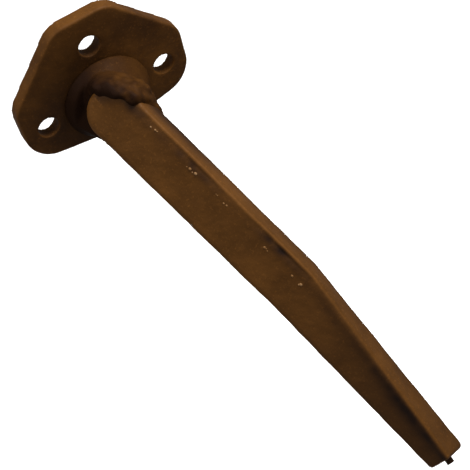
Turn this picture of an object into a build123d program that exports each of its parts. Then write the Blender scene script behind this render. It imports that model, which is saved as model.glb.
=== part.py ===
from build123d import *
import os
from math import cos, radians, sin

os.makedirs("parts", exist_ok=True)

# Axes: +Z up the mounting face, -Y straight out of the wall, +X to the right when facing the plate.
# Origin: centre of the bolt circle on the plate's back face.  All sizes in millimetres.

# Mounting plate
BOLT_CIRCLE_R = 40.0
HOLE_D = 13.5
PLATE_T = 9.0
PLATE_TOP = 61.0
PLATE_HALF_W = 56.0
TOP_HALF_FLAT = 18.0
SIDE_TOP = 20.0
SIDE_BOTTOM = -20.0
PLATE_POINT = -30.0
PLATE_CORNER_R = 16.0
PLATE_LOWER_R = 21.0
PLATE_EDGE_R = 1.6
DRILL_L = 4 * PLATE_T

# Flared root boss
BOSS_BASE_R = 28.6
BOSS_LIP = 1.5
BOSS_NECK_R = 18.0
BOSS_LENGTH = 60.0
BOSS_FLARE = 30.0
BOSS_HOLLOW = 1.5
BOSS_COLLAR = 7.0
CUT_REACH = 4 * BOSS_LENGTH

# Arm
ARM_LEAN = 45.0
ARM_SWING = 22.7
ARM_ROLL = 18.0
ARM_JOINT = 38.5
ARM_W = 34.0
ARM_T = 18.0
ARM_EDGE_R = 4.0
ROOT_OVERHANG = 33.0
STRAIGHT_L = 131.0
TAPER_L = 143.5
TAPER_BEND = 4.3
TAPER_TWIST = 15.0
TIP_W = 17.0
TIP_T = 23.0
TIP_EDGE_R = 3.5
TIP_END_R = 2.8
TIP_SLANT = 18.0

# Weld bead and tip stud
BEAD_R = 3.0
BEAD_CLEAR = 0.8
BEAD_OFFSET = -2.5
STUD_D = 5.0
STUD_L = 4.0


def arm_directions():
    """Unit vectors along the arm, out of its broad face and across its width."""
    outward = Vector(0, -1, 0)
    sideways = Vector(sin(radians(ARM_SWING)), 0, -cos(radians(ARM_SWING)))
    along = outward * cos(radians(ARM_LEAN)) + sideways * sin(radians(ARM_LEAN))
    face = outward * cos(radians(ARM_LEAN)) - sideways * sin(radians(ARM_LEAN))
    across = face.cross(along)
    rolled_face = face * cos(radians(ARM_ROLL)) - across * sin(radians(ARM_ROLL))
    return along, rolled_face, rolled_face.cross(along)


ALONG, FACE, ACROSS = arm_directions()
JOINT = Vector(0, -PLATE_T - ARM_JOINT, 0)
NECK_CENTRE = JOINT + Vector(0, -ARM_T / 2 / FACE.Y, 0)
UNDERSIDE = Plane(NECK_CENTRE, x_dir=ALONG, z_dir=FACE)
TAPER_ALONG = ALONG * cos(radians(TAPER_BEND)) - ACROSS * sin(radians(TAPER_BEND))
BEND_POINT = JOINT + ALONG * STRAIGHT_L
TIP_POINT = BEND_POINT + TAPER_ALONG * TAPER_L
TIP_OUT = TAPER_ALONG * cos(radians(TIP_SLANT)) + FACE * sin(radians(TIP_SLANT))
BACK_FACE = Plane.XZ
FRONT_FACE = Plane.XZ.offset(PLATE_T)


def hole_centres():
    """The three bolt holes: one on top, one each side."""
    return [(0, BOLT_CIRCLE_R), (BOLT_CIRCLE_R, 0), (-BOLT_CIRCLE_R, 0)]


def plate_outline():
    """Half outline drawn with sharp corners, mirrored, then rounded everywhere but the bottom point."""
    half = [
        (0, PLATE_TOP),
        (TOP_HALF_FLAT, PLATE_TOP),
        (PLATE_HALF_W, SIDE_TOP),
        (PLATE_HALF_W, SIDE_BOTTOM),
        (0, PLATE_POINT),
    ]
    mirrored = [(-x, z) for x, z in reversed(half[1:-1])]
    outline = make_face(Polyline(*half, *mirrored, close=True))
    upper_corners = [corner for corner in outline.vertices() if corner.Y > 0]
    outline = fillet(upper_corners, PLATE_CORNER_R)
    lower_corners = outline.vertices().sort_by(Axis.Y)[1:3]
    return fillet(lower_corners, PLATE_LOWER_R)


def flange_plate():
    blank = extrude(BACK_FACE * plate_outline(), PLATE_T)
    front_edges = blank.faces().sort_by(Axis.Y)[0].edges()
    blank = fillet(front_edges, PLATE_EDGE_R)
    drills = [
        BACK_FACE * Pos(x, z) * Cylinder(HOLE_D / 2, DRILL_L)
        for x, z in hole_centres()
    ]
    return blank - drills


def boss_blank():
    """Flared stub, turned about the plate's centre line and left long."""
    profile = [
        Line((0, 0), (BOSS_BASE_R, 0)),
        Line((BOSS_BASE_R, 0), (BOSS_BASE_R, BOSS_LIP)),
        ThreePointArc(
            (BOSS_BASE_R, BOSS_LIP),
            ((BOSS_BASE_R + BOSS_NECK_R) / 2 - BOSS_HOLLOW, BOSS_FLARE / 2),
            (BOSS_NECK_R, BOSS_FLARE),
        ),
        Line((BOSS_NECK_R, BOSS_FLARE), (BOSS_NECK_R, BOSS_LENGTH)),
        Line((BOSS_NECK_R, BOSS_LENGTH), (0, BOSS_LENGTH)),
        Line((0, BOSS_LENGTH), (0, 0)),
    ]
    section = Plane.XZ * make_face(Curve() + profile)
    turned = revolve(section, Axis.Z)
    return FRONT_FACE * turned


def root_boss(arm):
    """The stub cut off along the arm's underside, down to a low collar behind the root end."""
    cutter = Box(CUT_REACH, CUT_REACH, CUT_REACH, align=(Align.CENTER, Align.CENTER, Align.MIN))
    above_arm = UNDERSIDE * cutter
    above_collar = FRONT_FACE.offset(BOSS_COLLAR) * cutter
    return boss_blank() - (above_arm & above_collar) - arm


def arm_straight():
    """Flat bar with a half-round root end and softened long edges."""
    radius = ARM_W / 2
    start = -ROOT_OVERHANG + radius
    plan = Pos((start + STRAIGHT_L) / 2, 0) * Rectangle(STRAIGHT_L - start, ARM_W)
    plan += Pos(start, 0) * Circle(radius)
    bar = Pos(0, 0, -ARM_T / 2) * extrude(plan, ARM_T)
    broad_faces = bar.faces().filter_by(Axis.Z)
    long_edges = [edge for edge in broad_faces.edges() if edge.center().X < STRAIGHT_L - ARM_EDGE_R]
    bar = fillet(long_edges, ARM_EDGE_R)
    return Plane(JOINT, x_dir=ALONG, z_dir=FACE) * bar


def arm_taper():
    """Drawn-down length: narrower and deeper toward the tip, cranked and twisted slightly."""
    wide = Plane(BEND_POINT, x_dir=ACROSS, z_dir=ALONG)
    tip_across = FACE.cross(TAPER_ALONG)
    twisted_across = tip_across * cos(radians(TAPER_TWIST)) + FACE * sin(radians(TAPER_TWIST))
    narrow = Plane(TIP_POINT, x_dir=twisted_across, z_dir=TIP_OUT)
    sections = [
        wide * RectangleRounded(ARM_W, ARM_T, ARM_EDGE_R),
        narrow * RectangleRounded(TIP_W, TIP_T, TIP_EDGE_R),
    ]
    return loft(sections, ruled=True)


def arm_bar():
    bar = arm_straight() + arm_taper()
    tip_face = bar.faces().sort_by_distance(TIP_POINT)[0]
    return fillet(tip_face.edges(), TIP_END_R)


def neck_weld(boss, arm):
    """Bead laid on the stub's cut end, round the root of the arm and across under it."""
    root_end = -ROOT_OVERHANG - BEAD_CLEAR
    far_end = (NECK_CENTRE - JOINT).dot(ALONG) + BOSS_NECK_R / cos(radians(ARM_LEAN)) + BEAD_CLEAR
    half_length = (far_end - root_end) / 2
    middle = JOINT + ALONG * (root_end + half_length) + ACROSS * BEAD_OFFSET - FACE * (ARM_T / 2)
    ring = Plane(middle, x_dir=ALONG, z_dir=FACE)
    path = ring * Ellipse(half_length, ARM_W / 2 + BEAD_CLEAR).wire()
    section = Plane(path @ 0, z_dir=path % 0) * Circle(BEAD_R)
    return sweep(section, path) - boss - arm


def tip_stud(arm):
    seat = Plane(TIP_POINT, z_dir=TIP_OUT)
    return seat * Cylinder(STUD_D / 2, STUD_L, align=(Align.CENTER, Align.CENTER, Align.MIN)) - arm


plate = flange_plate()
arm = arm_bar()
boss = root_boss(arm)
nodes = {
    "flange_plate": plate,
    "root_boss": boss,
    "arm_bar": arm,
    "neck_weld": neck_weld(boss, arm),
    "tip_stud": tip_stud(arm),
}
for name, shape in nodes.items():
    export_step(shape, f"parts/{name}.step")
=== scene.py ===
import bmesh
import bpy
from math import cos, exp, pi, radians, sin
from random import Random
from mathutils import Matrix, Quaternion, Vector, noise


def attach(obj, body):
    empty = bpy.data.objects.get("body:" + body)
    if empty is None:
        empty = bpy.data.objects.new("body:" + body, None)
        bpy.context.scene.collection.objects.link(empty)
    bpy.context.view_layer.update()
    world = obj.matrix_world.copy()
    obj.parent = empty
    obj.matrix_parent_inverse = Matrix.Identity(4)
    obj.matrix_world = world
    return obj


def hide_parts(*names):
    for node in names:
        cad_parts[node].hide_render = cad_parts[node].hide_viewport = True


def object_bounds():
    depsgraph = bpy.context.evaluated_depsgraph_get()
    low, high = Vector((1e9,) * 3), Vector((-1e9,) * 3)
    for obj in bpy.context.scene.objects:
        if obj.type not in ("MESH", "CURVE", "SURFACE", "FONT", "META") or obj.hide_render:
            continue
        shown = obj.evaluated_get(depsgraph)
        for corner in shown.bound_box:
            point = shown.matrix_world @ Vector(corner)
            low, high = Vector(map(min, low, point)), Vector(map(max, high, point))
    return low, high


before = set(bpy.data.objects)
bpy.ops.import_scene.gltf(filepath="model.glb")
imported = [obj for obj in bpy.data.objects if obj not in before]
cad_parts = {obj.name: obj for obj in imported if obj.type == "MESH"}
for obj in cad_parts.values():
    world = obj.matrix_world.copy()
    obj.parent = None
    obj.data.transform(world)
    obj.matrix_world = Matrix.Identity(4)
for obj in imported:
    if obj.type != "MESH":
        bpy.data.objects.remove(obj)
cad_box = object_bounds()
MM = 0.001

# Bar directions and lengths, the same as the solid's
ARM_LEAN = radians(45.0)
ARM_SWING = radians(22.7)
ARM_ROLL = radians(18.0)
ARM_W = 34 * MM
ARM_T = 18 * MM
PLATE_T = 9 * MM
ARM_JOINT = 38.5 * MM
STRAIGHT_L = 131 * MM
ROOT_OVERHANG = 33 * MM
TAPER_L = 143.5 * MM
TAPER_BEND = radians(4.3)
TAPER_TWIST = radians(15.0)
TIP_W = 17 * MM
TIP_T = 23 * MM
BOSS_NECK_R = 18 * MM
BEAD_R = 3.0 * MM
BEAD_OFFSET = -2.5 * MM
BEAD_CLEAR = 0.8 * MM
# Fixes the bead's drift, which would otherwise follow the clock and differ in every run
BEAD_SEED = 1795002844

# Grain of the fine meshes
ARM_VOXEL = 0.75 * MM
PLATE_VOXEL = 0.8 * MM
BOSS_VOXEL = 0.8 * MM
STUD_VOXEL = 0.25 * MM

# Relief on the bar's broad face, with the ridge and groove placed by distance in from its upper edge
RIDGE_H = 0.55 * MM
RIDGE_IN = 0.7 * MM
GROOVE_DEPTH = 0.60 * MM
GROOVE_IN = 3.3 * MM
DISH_DEPTH = 0.30 * MM
TIP_HOLLOW_DEPTH = 0.9 * MM
TIP_HOLLOW_ALONG = STRAIGHT_L + 95 * MM
# The groove is faint all along and deeper in stretches: middle and reach along the bar, and strength
GROOVE_FAINT = 0.15
GROOVE_STRETCHES = [(-14 * MM, 20 * MM, 0.9), (38 * MM, 19 * MM, 1.5), (109 * MM, 20 * MM, 1.9)]

# Angle round the root ring where the built-up metal is thickest
FAIRING_PEAK = radians(122)
# Height up the bar's side and distance out from it, for each layer of built-up metal at the root
FAIRING_LAYERS = [(3.5 * MM, 3.0 * MM), (8 * MM, 2.4 * MM), (12 * MM, 1.4 * MM), (14.6 * MM, 0.2 * MM)]
# Where the spatter gathers, as distances along the bar
SPATTER_SPOTS = (9 * MM, 40 * MM, 63 * MM, 99 * MM, 128 * MM)
SPATTER_PER_SPOT = 4

# Paint, linear RGB
PAINT = (0.180, 0.070, 0.0125)
PAINT_DARK = (0.080, 0.031, 0.0075)
# Worn paint tone, also used as a painted highlight on edges
PAINT_WORN_AND_HIGHLIGHT = (0.330, 0.130, 0.024)
# Tone mixed in by the per-vertex mask: mostly painted shade, with some patchy dirt
SHADE_AND_DIRT_TONE = (0.022, 0.0095, 0.0050)
# Light tones of the spatter beads, standing in for their glints: painted highlight
SPATTER_GLINT_TONE = (0.55, 0.34, 0.17)
SPATTER_GLINT_EDGE_TONE = (0.75, 0.55, 0.34)
FLOOR_TONE = (0.93, 0.93, 0.925)

# Studio, in metres
FLOOR_REACH = 6.0
FLOOR_DROP = 0.40
CAMERA_PLACE = (-0.1357, -0.5578, 0.5078)
CAMERA_RIGHT = Vector((0.8393, -0.5132, -0.1793))
CAMERA_UP = Vector((0.5013, 0.6030, 0.6206))
CAMERA_LENS_MM = 95.74

outward = Vector((0, -1, 0))
sideways = Vector((sin(ARM_SWING), 0, -cos(ARM_SWING)))
ALONG = outward * cos(ARM_LEAN) + sideways * sin(ARM_LEAN)
flat_face = outward * sin(ARM_LEAN) - sideways * cos(ARM_LEAN)
flat_across = flat_face.cross(ALONG)
FACE = flat_face * cos(ARM_ROLL) - flat_across * sin(ARM_ROLL)
ACROSS = FACE.cross(ALONG)
JOINT = Vector((0, -PLATE_T - ARM_JOINT, 0))
TAPER_ALONG = ALONG * cos(TAPER_BEND) - ACROSS * sin(TAPER_BEND)
BEND_POINT = JOINT + ALONG * STRAIGHT_L
NECK_CENTRE = JOINT + Vector((0, -ARM_T / 2 / FACE.y, 0))


# ---------- mesh helpers ----------

def add_object(name, data):
    """A new object in the scene."""
    obj = bpy.data.objects.new(name, data)
    bpy.context.scene.collection.objects.link(obj)
    return obj


def finished_mesh(name, mesh):
    """Turns an edited mesh into mesh data, and frees it."""
    data = bpy.data.meshes.new(name)
    mesh.to_mesh(data)
    mesh.free()
    return data


def scaled(colour, factor):
    return tuple(c * factor for c in colour)


def bump_at(x, centre, width):
    """Smooth hill of height 1 at centre."""
    return exp(-(((x - centre) / width) ** 2))


def smooth_step(x, low, high):
    """Rises smoothly from 0 at low to 1 at high."""
    t = min(max((x - low) / (high - low), 0.0), 1.0)
    return t * t * (3 - 2 * t)


def roughcast(point, scale, seed):
    """Gentle forged unevenness, about -1 to 1, with features of the given size in metres."""
    return noise.noise(point / scale + Vector((seed, 0, -seed)))


def dense_mesh(obj, voxel, smoothing=3):
    """Remeshes an object finely and evenly, in place, softening its corners."""
    remesh = obj.modifiers.new("even", "REMESH")
    remesh.mode = "VOXEL"
    remesh.voxel_size = voxel
    smooth = obj.modifiers.new("soften", "SMOOTH")
    smooth.factor = 0.5
    smooth.iterations = smoothing
    depsgraph = bpy.context.evaluated_depsgraph_get()
    dense = bpy.data.meshes.new_from_object(obj.evaluated_get(depsgraph))
    obj.modifiers.clear()
    obj.data = dense
    return obj


def dense_copy(node, name, voxel, smoothing=3):
    """A finely and evenly meshed copy of a CAD node, ready to be shaped."""
    return dense_mesh(add_object(name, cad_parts[node].data.copy()), voxel, smoothing)


def join_meshes(name, *parts):
    """One object from several overlapping ones, which are removed."""
    mesh = bmesh.new()
    for part in parts:
        mesh.from_mesh(part.data)
        bpy.data.objects.remove(part)
    return add_object(name, finished_mesh(name, mesh))


def shape(obj, height, shade_and_dirt=None):
    """Moves each vertex along its normal by height(position, normal) and stores how much painted shade,
    with some patchy dirt, it gets, 0 to 1.
    """
    mesh = obj.data
    layer = mesh.attributes.new("shade_and_dirt", "FLOAT", "POINT")
    spots = [(v.co.copy(), v.normal.copy()) for v in mesh.vertices]
    for v, shade_and_dirt_value, (place, normal) in zip(mesh.vertices, layer.data, spots):
        v.co = place + normal * height(place, normal)
        if shade_and_dirt:
            shade_and_dirt_value.value = min(max(shade_and_dirt(place, normal), 0.0), 1.0)
    mesh.polygons.foreach_set("use_smooth", [True] * len(mesh.polygons))
    mesh.update()


def finish_piece(obj, material, node=None):
    """Paints a piece, hangs it under the root body, and hides the CAD node that it replaces, if one is
    given.
    """
    obj.data.materials.clear()
    obj.data.materials.append(material)
    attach(obj, "root")
    if node:
        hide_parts(node)


# ---------- materials ----------

def node_tree(name):
    material = bpy.data.materials.new(name)
    material.use_nodes = True
    tree = material.node_tree
    return material, tree, tree.nodes["Principled BSDF"]


def link(tree, source, output, target, socket):
    tree.links.new(source.outputs[output], target.inputs[socket])


def noise_node(tree, scale, detail, roughness=0.5):
    """Noise in object space; scale is in features per metre."""
    coords = tree.nodes.new("ShaderNodeTexCoord")
    texture = tree.nodes.new("ShaderNodeTexNoise")
    texture.inputs["Scale"].default_value = scale
    texture.inputs["Detail"].default_value = detail
    texture.inputs["Roughness"].default_value = roughness
    link(tree, coords, "Object", texture, "Vector")
    return texture


def ramp(tree, source, output, stops):
    """Grey ramp through (position, value) stops."""
    node = tree.nodes.new("ShaderNodeValToRGB")
    link(tree, source, output, node, "Fac")
    elements = node.color_ramp.elements
    for element, (position, value) in zip(elements, (stops[0], stops[-1])):
        element.position = position
        element.color = (value, value, value, 1)
    for position, value in stops[1:-1]:
        element = elements.new(position)
        element.color = (value, value, value, 1)
    return node


def mix_colour(tree, factor, first, second):
    """Mixes two colours, each a tuple or another mix."""
    node = tree.nodes.new("ShaderNodeMix")
    node.data_type = "RGBA"
    link(tree, factor, 0, node, 0)
    for value, socket in ((first, 6), (second, 7)):
        if isinstance(value, tuple):
            node.inputs[socket].default_value = (*value, 1)
        else:
            tree.links.new(value.outputs[2], node.inputs[socket])
    return node


def painted_steel(name, base, dark, worn_and_highlight, wear_and_highlight_level=0.53, grain=1.0, sheen=0.16):
    """Thick satin paint over forged steel: cloudy tone, fine orange-peel, rubbed edges lightened further as
    a painted highlight, painted shade in hollows, and painted shade with some patchy dirt from a per-vertex
    mask.
    """
    material, tree, shader = node_tree(name)
    clouds = ramp(tree, noise_node(tree, 38, 5, 0.6), "Fac", [(0.36, 0.0), (0.66, 1.0)])
    tone = mix_colour(tree, clouds, dark, base)
    flecks = ramp(tree, noise_node(tree, 700, 3), "Fac", [(0.58, 0.0), (0.72, 0.35)])
    flecked = mix_colour(tree, flecks, tone, worn_and_highlight)
    geometry = tree.nodes.new("ShaderNodeNewGeometry")
    # Rubbed edges: real wear, lightened further as a painted highlight on ridges and rims
    edge_wear_and_highlight = ramp(tree, geometry, "Pointiness", [(wear_and_highlight_level - 0.02, 0.0), (wear_and_highlight_level + 0.035, 0.75)])
    with_edge_wear_and_highlight = mix_colour(tree, edge_wear_and_highlight, flecked, worn_and_highlight)
    # Painted shade in hollows
    hollow_shade = ramp(tree, geometry, "Pointiness", [(0.40, 0.75), (0.485, 0.0)])
    with_hollow_shade = mix_colour(tree, hollow_shade, with_edge_wear_and_highlight, scaled(dark, 0.45))
    # Per-vertex mask of painted shade, with some patchy dirt, mixed toward the shade tone
    shade_and_dirt = tree.nodes.new("ShaderNodeAttribute")
    shade_and_dirt.attribute_name = "shade_and_dirt"
    final = mix_colour(tree, ramp(tree, shade_and_dirt, "Fac", [(0.0, 0.0), (1.0, 1.0)]), with_hollow_shade, SHADE_AND_DIRT_TONE)
    tree.links.new(final.outputs[2], shader.inputs["Base Color"])

    gloss = ramp(tree, noise_node(tree, 120, 4), "Fac", [(0.3, 0.46), (0.7, 0.64)])
    link(tree, gloss, "Color", shader, "Roughness")
    shader.inputs["Specular IOR Level"].default_value = sheen

    peel = tree.nodes.new("ShaderNodeBump")
    peel.inputs["Strength"].default_value = 0.22 * grain
    peel.inputs["Distance"].default_value = 0.0004
    link(tree, noise_node(tree, 900, 3), "Fac", peel, "Height")
    lumps = tree.nodes.new("ShaderNodeBump")
    lumps.inputs["Strength"].default_value = 0.35 * grain
    lumps.inputs["Distance"].default_value = 0.0012
    link(tree, noise_node(tree, 150, 4, 0.6), "Fac", lumps, "Height")
    link(tree, peel, "Normal", lumps, "Normal")
    link(tree, lumps, "Normal", shader, "Normal")
    return material


def floor_material():
    material, tree, shader = node_tree("pale_floor")
    soft = mix_colour(
        tree,
        ramp(tree, noise_node(tree, 6, 3), "Fac", [(0.3, 0.0), (0.7, 1.0)]),
        FLOOR_TONE,
        scaled(FLOOR_TONE, 0.985),
    )
    tree.links.new(soft.outputs[2], shader.inputs["Base Color"])
    shader.inputs["Roughness"].default_value = 0.9
    shader.inputs["Specular IOR Level"].default_value = 0.1
    return material


# ---------- the pieces ----------

def arm_section(point):
    """Position of a point in the bar: distance along, and -1 to 1 across and through the section."""
    along = (point - JOINT).dot(ALONG)
    if along < STRAIGHT_L:
        offset = point - JOINT - ALONG * along
        share, face = 0.0, FACE
        across = ACROSS
    else:
        along = (point - BEND_POINT).dot(TAPER_ALONG)
        offset = point - BEND_POINT - TAPER_ALONG * along
        share = min(along / TAPER_L, 1.0)
        twist = Quaternion(TAPER_ALONG, TAPER_TWIST * share)
        across = twist @ FACE.cross(TAPER_ALONG)
        face = twist @ FACE
        along += STRAIGHT_L
    half_w = (ARM_W + (TIP_W - ARM_W) * share) / 2
    half_t = (ARM_T + (TIP_T - ARM_T) * share) / 2
    return along, offset.dot(across) / half_w, offset.dot(face) / half_t, face


def edge_distance(along, v, half_w):
    """Distance in from the bar's upper edge, carried round the half-round root end."""
    root_centre = ARM_W / 2 - ROOT_OVERHANG
    if along > root_centre or v < 0:
        return half_w * (1 - v)
    return ARM_W / 2 - ((along - root_centre) ** 2 + (v * half_w) ** 2) ** 0.5


def groove_strength(along):
    """The groove comes and goes: deep beside the boss, in the first third and before the bend."""
    stretches = (depth * bump_at(along, middle, reach) for middle, reach, depth in GROOVE_STRETCHES)
    return sum(stretches, GROOVE_FAINT)


def arm_relief(point, normal):
    """Raised ridge along one edge of the broad face, a groove inside it, a dished face and a wavy skin."""
    along, v, _, face = arm_section(point)
    front = smooth_step(normal.dot(face), 0.3, 0.9)
    taper = smooth_step(along, STRAIGHT_L * 0.9, STRAIGHT_L + TAPER_L * 0.35)
    inside = edge_distance(along, v, ARM_W / 2)
    wander = 0.6 * MM * noise.noise(Vector((along / (17 * MM), 3.1, 0)))
    free_edge = smooth_step(along, -10 * MM, 4 * MM)
    ridge = RIDGE_H * bump_at(inside, RIDGE_IN + wander, 1.4 * MM) * (1 - 0.7 * taper) * free_edge
    groove = GROOVE_DEPTH * groove_strength(along) * bump_at(inside, GROOVE_IN + wander, 1.9 * MM)
    hollow = TIP_HOLLOW_DEPTH * bump_at(along, TIP_HOLLOW_ALONG, 40 * MM) * bump_at(v, 0.30, 0.45)
    dish = DISH_DEPTH * max(0.0, 1 - (v + 0.15) ** 2 * 1.8) * (1 - taper)
    skin = 0.16 * MM * roughcast(point, 9 * MM, 2.3) + 0.08 * MM * roughcast(point, 3.5 * MM, 5.1)
    edge_wave = 0.28 * MM * roughcast(point, 14 * MM, 8.8)
    return front * (ridge - groove * (1 - taper) - hollow - dish) + skin + edge_wave - 0.12 * MM


def arm_painted_shade(point, normal):
    """Painted shade: darker in the groove, in the crevice beside the root, toward the tip where the light
    falls off, in a hollow near the tip and low on the narrow side.
    """
    along, v, w, face = arm_section(point)
    front = smooth_step(normal.dot(face), 0.55, 0.95)
    inside = edge_distance(along, v, ARM_W / 2)
    patchy = 0.75 + 0.5 * roughcast(point, 6 * MM, 9.2)
    in_groove = 0.62 * groove_strength(along) * bump_at(inside, 4.4 * MM, 3.3 * MM)
    if along > STRAIGHT_L:
        in_groove = 0.35 * bump_at(v, 0.62, 0.28)
    toward_tip = smooth_step(along, STRAIGHT_L * 0.7, STRAIGHT_L + TAPER_L * 0.95)
    tip_patch = 0.35 * bump_at(along, STRAIGHT_L + 100 * MM, 34 * MM) * bump_at(v, 0.35, 0.5)
    # Painted shadow in the crevice between the bar's root and the boss
    root_crevice_shade = 0.42 * bump_at(along, -15 * MM, 19 * MM) * bump_at(inside, 6.0 * MM, 4.6 * MM)
    near_root = 1 - smooth_step(along, 15 * MM, 70 * MM)
    side = smooth_step(v, 0.8, 1.0) * smooth_step(-w, -0.4 - 0.6 * near_root, 0.8)
    side *= 0.35 + 0.55 * near_root
    return front * ((in_groove + root_crevice_shade) * patchy + 0.52 * toward_tip + tip_patch) + side


def arm_bar():
    arm = dense_copy("arm_bar", "arm", ARM_VOXEL)
    shape(arm, arm_relief, arm_painted_shade)
    paint = painted_steel("arm_paint", PAINT, scaled(PAINT, 0.72), PAINT_WORN_AND_HIGHLIGHT)
    finish_piece(arm, paint, "arm_bar")


def flange_plate():
    plate = dense_copy("flange_plate", "plate", PLATE_VOXEL, 1)

    def plate_relief(point, normal):
        skin = 0.14 * MM * roughcast(point, 13 * MM, 1.7) + 0.07 * MM * roughcast(point, 4 * MM, 4.2)
        return skin - 0.10 * MM

    def plate_shade_and_dirt(point, normal):
        """On the front face: painted shadow round the foot of the boss, mostly on its left, darker toward
        the plate's left, and patchy dirt.
        """
        front = smooth_step(-normal.y, 0.5, 0.95)
        reach = (point.x**2 + point.z**2) ** 0.5
        shade = bump_at(reach, 30 * MM, 17 * MM) * smooth_step(-point.x, -20 * MM, 25 * MM)
        left = smooth_step(-point.x, -40 * MM, 10 * MM)
        return front * (0.02 + 0.14 * left + 0.40 * shade + 0.12 * roughcast(point, 12 * MM, 3.9))

    shape(plate, plate_relief, plate_shade_and_dirt)
    base = scaled(PAINT, 0.95)
    paint = painted_steel("plate_paint", base, PAINT_DARK, PAINT_WORN_AND_HIGHLIGHT, wear_and_highlight_level=0.55, sheen=0.10)
    finish_piece(plate, paint, "flange_plate")


def ring_point(angle, lift=0.0, out=0.0):
    """A point on the weld's ring round the bar's root: 0 is under the bar, a half turn is its root end."""
    root_end = -ROOT_OVERHANG - BEAD_CLEAR
    far_end = (NECK_CENTRE - JOINT).dot(ALONG) + BOSS_NECK_R / cos(ARM_LEAN) + BEAD_CLEAR
    half_length = (far_end - root_end) / 2
    half_width = ARM_W / 2 + BEAD_CLEAR
    middle = JOINT + ALONG * (root_end + half_length) + ACROSS * BEAD_OFFSET - FACE * (ARM_T / 2)
    sweep = ALONG * (half_length + out) * cos(angle) + ACROSS * (half_width + out) * sin(angle)
    return middle + sweep + FACE * lift


def fairing_layer(height, out):
    """A bead round the bar's root that climbs and spreads on the bar's upper side."""
    centres, radii = [], []
    steps = 90
    for i in range(steps):
        angle = 2 * pi * i / steps
        spread = radians(34) if angle < FAIRING_PEAK else radians(62)
        build_up = min(1.0, 1.5 * bump_at(angle, FAIRING_PEAK, spread))
        centres.append(ring_point(angle, lift=height * build_up, out=out * build_up))
        radii.append((2.0 + 2.8 * build_up) * MM)
    return add_object("fairing", tube_along("fairing", centres, radii))


def root_boss():
    """The flared stub with the built-up metal that fairs it into the bar's upper side."""
    boss = dense_copy("root_boss", "boss_core", BOSS_VOXEL)
    layers = [fairing_layer(height, out) for height, out in FAIRING_LAYERS]
    body = dense_mesh(join_meshes("boss", boss, *layers), BOSS_VOXEL, 8)

    def neckward(point):
        """0 on the flared foot, 1 near the neck."""
        return smooth_step(-point.y, PLATE_T + 10 * MM, PLATE_T + 24 * MM)

    def boss_relief(point, normal):
        lumps = roughcast(point, 7 * MM, 6.4) + 0.7 * roughcast(point, 3.5 * MM, 2.8)
        skin = 0.15 * MM * roughcast(point, 5 * MM, 3.3)
        return 1.1 * MM * neckward(point) * lumps + skin - 0.1 * MM

    def boss_shade_and_dirt(point, normal):
        """Darker all over, with painted shade deepest on the left flank, which faces away from the light,
        and where the bar sits, and patchy dirt near the neck.
        """
        rise = neckward(point)
        left = smooth_step(-point.x, -2 * MM, 11 * MM)
        w = arm_section(point)[2]
        against_bar = 0.35 * bump_at(w, 1.05, 0.22) * rise
        return 0.55 + 0.43 * left + 0.40 * rise * roughcast(point, 4.5 * MM, 1.1) + against_bar

    shape(body, boss_relief, boss_shade_and_dirt)
    base = scaled(PAINT, 0.85)
    paint = painted_steel("boss_paint", base, PAINT_DARK, PAINT_WORN_AND_HIGHLIGHT, wear_and_highlight_level=0.57, sheen=0.03)
    finish_piece(body, paint, "root_boss")


def tube_along(name, centres, radii, sides=20):
    """Closed ring of round sections through the centres, one radius each."""
    mesh = bmesh.new()
    rings = []
    count = len(centres)
    for i, (centre, radius) in enumerate(zip(centres, radii)):
        tangent = (centres[(i + 1) % count] - centres[i - 1]).normalized()
        side = tangent.cross(FACE).normalized()
        ring = []
        for j in range(sides):
            angle = 2 * pi * j / sides
            lump = 1 + 0.10 * noise.noise(centre / (2.2 * MM) + Vector((j * 0.6, 0, 0)))
            ring.append(mesh.verts.new(centre + (side * cos(angle) + FACE * sin(angle)) * radius * lump))
        rings.append(ring)
    for i in range(count):
        a, b = rings[i], rings[(i + 1) % count]
        for j in range(sides):
            k = (j + 1) % sides
            mesh.faces.new((a[j], a[k], b[k], b[j])).smooth = True
    bmesh.ops.recalc_face_normals(mesh, faces=mesh.faces[:])
    return finished_mesh(name, mesh)


def neck_weld():
    """Hand-laid bead: overlapping ripples, uneven in width and height."""
    noise.seed_set(BEAD_SEED)
    steps, ripples = 420, 40
    centres, radii = [], []
    for i in range(steps):
        angle = 2 * pi * i / steps
        drift = noise.noise_vector(Vector((cos(angle), sin(angle), 4.0)) * 2.4) * 0.8 * MM
        ripple = (angle * ripples / (2 * pi)) % 1.0
        wave = noise.noise(Vector((cos(angle) * 2, sin(angle) * 2, 9.0)))
        swell = 0.92 + 0.12 * (1 - (2 * ripple - 1) ** 2) + 0.22 * wave
        centres.append(ring_point(angle) + drift)
        radii.append(BEAD_R * swell)
    bead = add_object("neck_bead", tube_along("neck_bead", centres, radii))
    base = scaled(PAINT, 0.75)
    paint = painted_steel("weld_paint", base, PAINT_DARK, PAINT_WORN_AND_HIGHLIGHT, wear_and_highlight_level=0.57, grain=1.6)
    finish_piece(bead, paint, "neck_weld")


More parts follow.
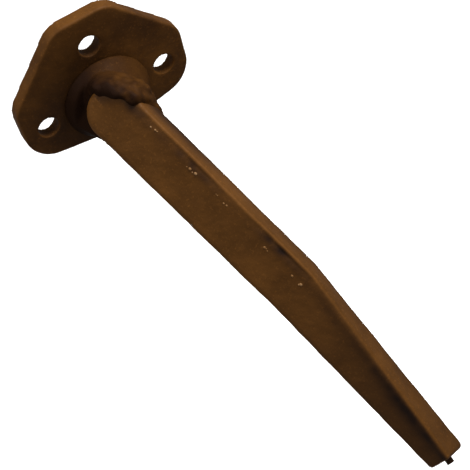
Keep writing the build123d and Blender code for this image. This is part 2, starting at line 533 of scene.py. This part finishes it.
def spatter():
    """Small weld spatter beads caught under the paint, in groups just inside the bar's ridge."""
    mesh = bmesh.new()
    dice = Random(7)
    for spot_along in [value for value in SPATTER_SPOTS for _ in range(SPATTER_PER_SPOT)]:
        along = spot_along + dice.uniform(-6, 6) * MM
        inward = 5.3 * MM + 5.2 * MM * along / STRAIGHT_L + dice.uniform(-1, 1) * MM
        spot = JOINT + ALONG * along + ACROSS * (ARM_W / 2 - inward) + FACE * (ARM_T / 2 - 0.30 * MM)
        radius = (0.42 + 0.45 * dice.random() ** 2) * MM
        made = bmesh.ops.create_icosphere(mesh, subdivisions=3, radius=radius)
        squash = Matrix.Diagonal((1.0, 1.25, 0.8, 1.0))
        turn = Matrix((ACROSS, ALONG, FACE)).transposed().to_4x4()
        bmesh.ops.transform(mesh, matrix=Matrix.Translation(spot) @ turn @ squash, verts=made["verts"])
    for face in mesh.faces:
        face.smooth = True
    beads = add_object("spatter", finished_mesh("spatter", mesh))
    # The beads' light colour is a painted highlight standing in for their glints
    paint = painted_steel("spatter_glint_paint", SPATTER_GLINT_TONE, PAINT_WORN_AND_HIGHLIGHT, SPATTER_GLINT_EDGE_TONE, wear_and_highlight_level=0.5)
    finish_piece(beads, paint)


def tip_stud():
    stud = dense_copy("tip_stud", "stud", STUD_VOXEL)
    shape(stud, lambda point, normal: 0.08 * MM * roughcast(point, 2 * MM, 7.7))
    paint = painted_steel("stud_paint", PAINT_DARK, scaled(PAINT_DARK, 0.5), PAINT, wear_and_highlight_level=0.6)
    finish_piece(stud, paint, "tip_stud")


# ---------- studio ----------

def floor():
    """Pale sheet well below the part, which neither lights it nor shows in its gloss."""
    mesh = bmesh.new()
    bmesh.ops.create_grid(mesh, x_segments=8, y_segments=8, size=FLOOR_REACH)
    ground = add_object("floor", finished_mesh("floor", mesh))
    lowest = cad_box[0][2]
    ground.location = (0, 0, lowest - FLOOR_DROP)
    ground.visible_diffuse = False
    ground.visible_glossy = False
    ground.data.materials.append(floor_material())


def area_light(name, place, target, size, power):
    data = bpy.data.lights.new(name, "AREA")
    data.shape = "DISK"
    data.size = size
    data.energy = power
    light = add_object(name, data)
    light.location = place
    light.rotation_mode = "QUATERNION"
    light.rotation_quaternion = (Vector(target) - Vector(place)).to_track_quat("-Z", "Y")


def floor_light():
    """Even light for the floor alone, so that it stays pale under the small studio lights."""
    data = bpy.data.lights.new("floor_light", "SUN")
    data.energy = 3.2
    data.angle = 0.5
    light = add_object("floor_light", data)
    only = bpy.data.collections.new("floor_only")
    only.objects.link(bpy.data.objects["floor"])
    light.light_linking.receiver_collection = only


def world_light():
    """Dim even fill, with a pale backdrop where the floor ends."""
    world = bpy.data.worlds.new("studio")
    world.use_nodes = True
    tree = world.node_tree
    fill = tree.nodes["Background"]
    fill.inputs["Strength"].default_value = 0.21
    backdrop = tree.nodes.new("ShaderNodeBackground")
    backdrop.inputs["Color"].default_value = (*FLOOR_TONE, 1)
    seen = tree.nodes.new("ShaderNodeLightPath")
    mix = tree.nodes.new("ShaderNodeMixShader")
    fill.inputs["Color"].default_value = (1, 1, 1, 1)
    tree.links.new(seen.outputs["Is Camera Ray"], mix.inputs[0])
    tree.links.new(fill.outputs[0], mix.inputs[1])
    tree.links.new(backdrop.outputs[0], mix.inputs[2])
    tree.links.new(mix.outputs[0], tree.nodes["World Output"].inputs["Surface"])
    bpy.context.scene.world = world
    bpy.context.scene.view_settings.view_transform = "Standard"


def lights():
    area_light("right_softbox", (0.45, -0.08, 0.78), JOINT, size=0.45, power=7.1)
    area_light("left_softbox", (-0.42, -0.04, 0.56), JOINT, size=0.35, power=1.15)
    floor_light()
    world_light()


def camera():
    data = bpy.data.cameras.new("camera")
    data.sensor_width = 36
    data.lens = CAMERA_LENS_MM
    data.clip_start = 0.01
    viewer = add_object("camera", data)
    turn = Matrix((CAMERA_RIGHT, CAMERA_UP, CAMERA_RIGHT.cross(CAMERA_UP))).transposed()
    viewer.matrix_world = Matrix.Translation(CAMERA_PLACE) @ turn.to_4x4()
    bpy.context.scene.camera = viewer


flange_plate()
root_boss()
arm_bar()
neck_weld()
spatter()
tip_stud()
floor()
lights()
camera()
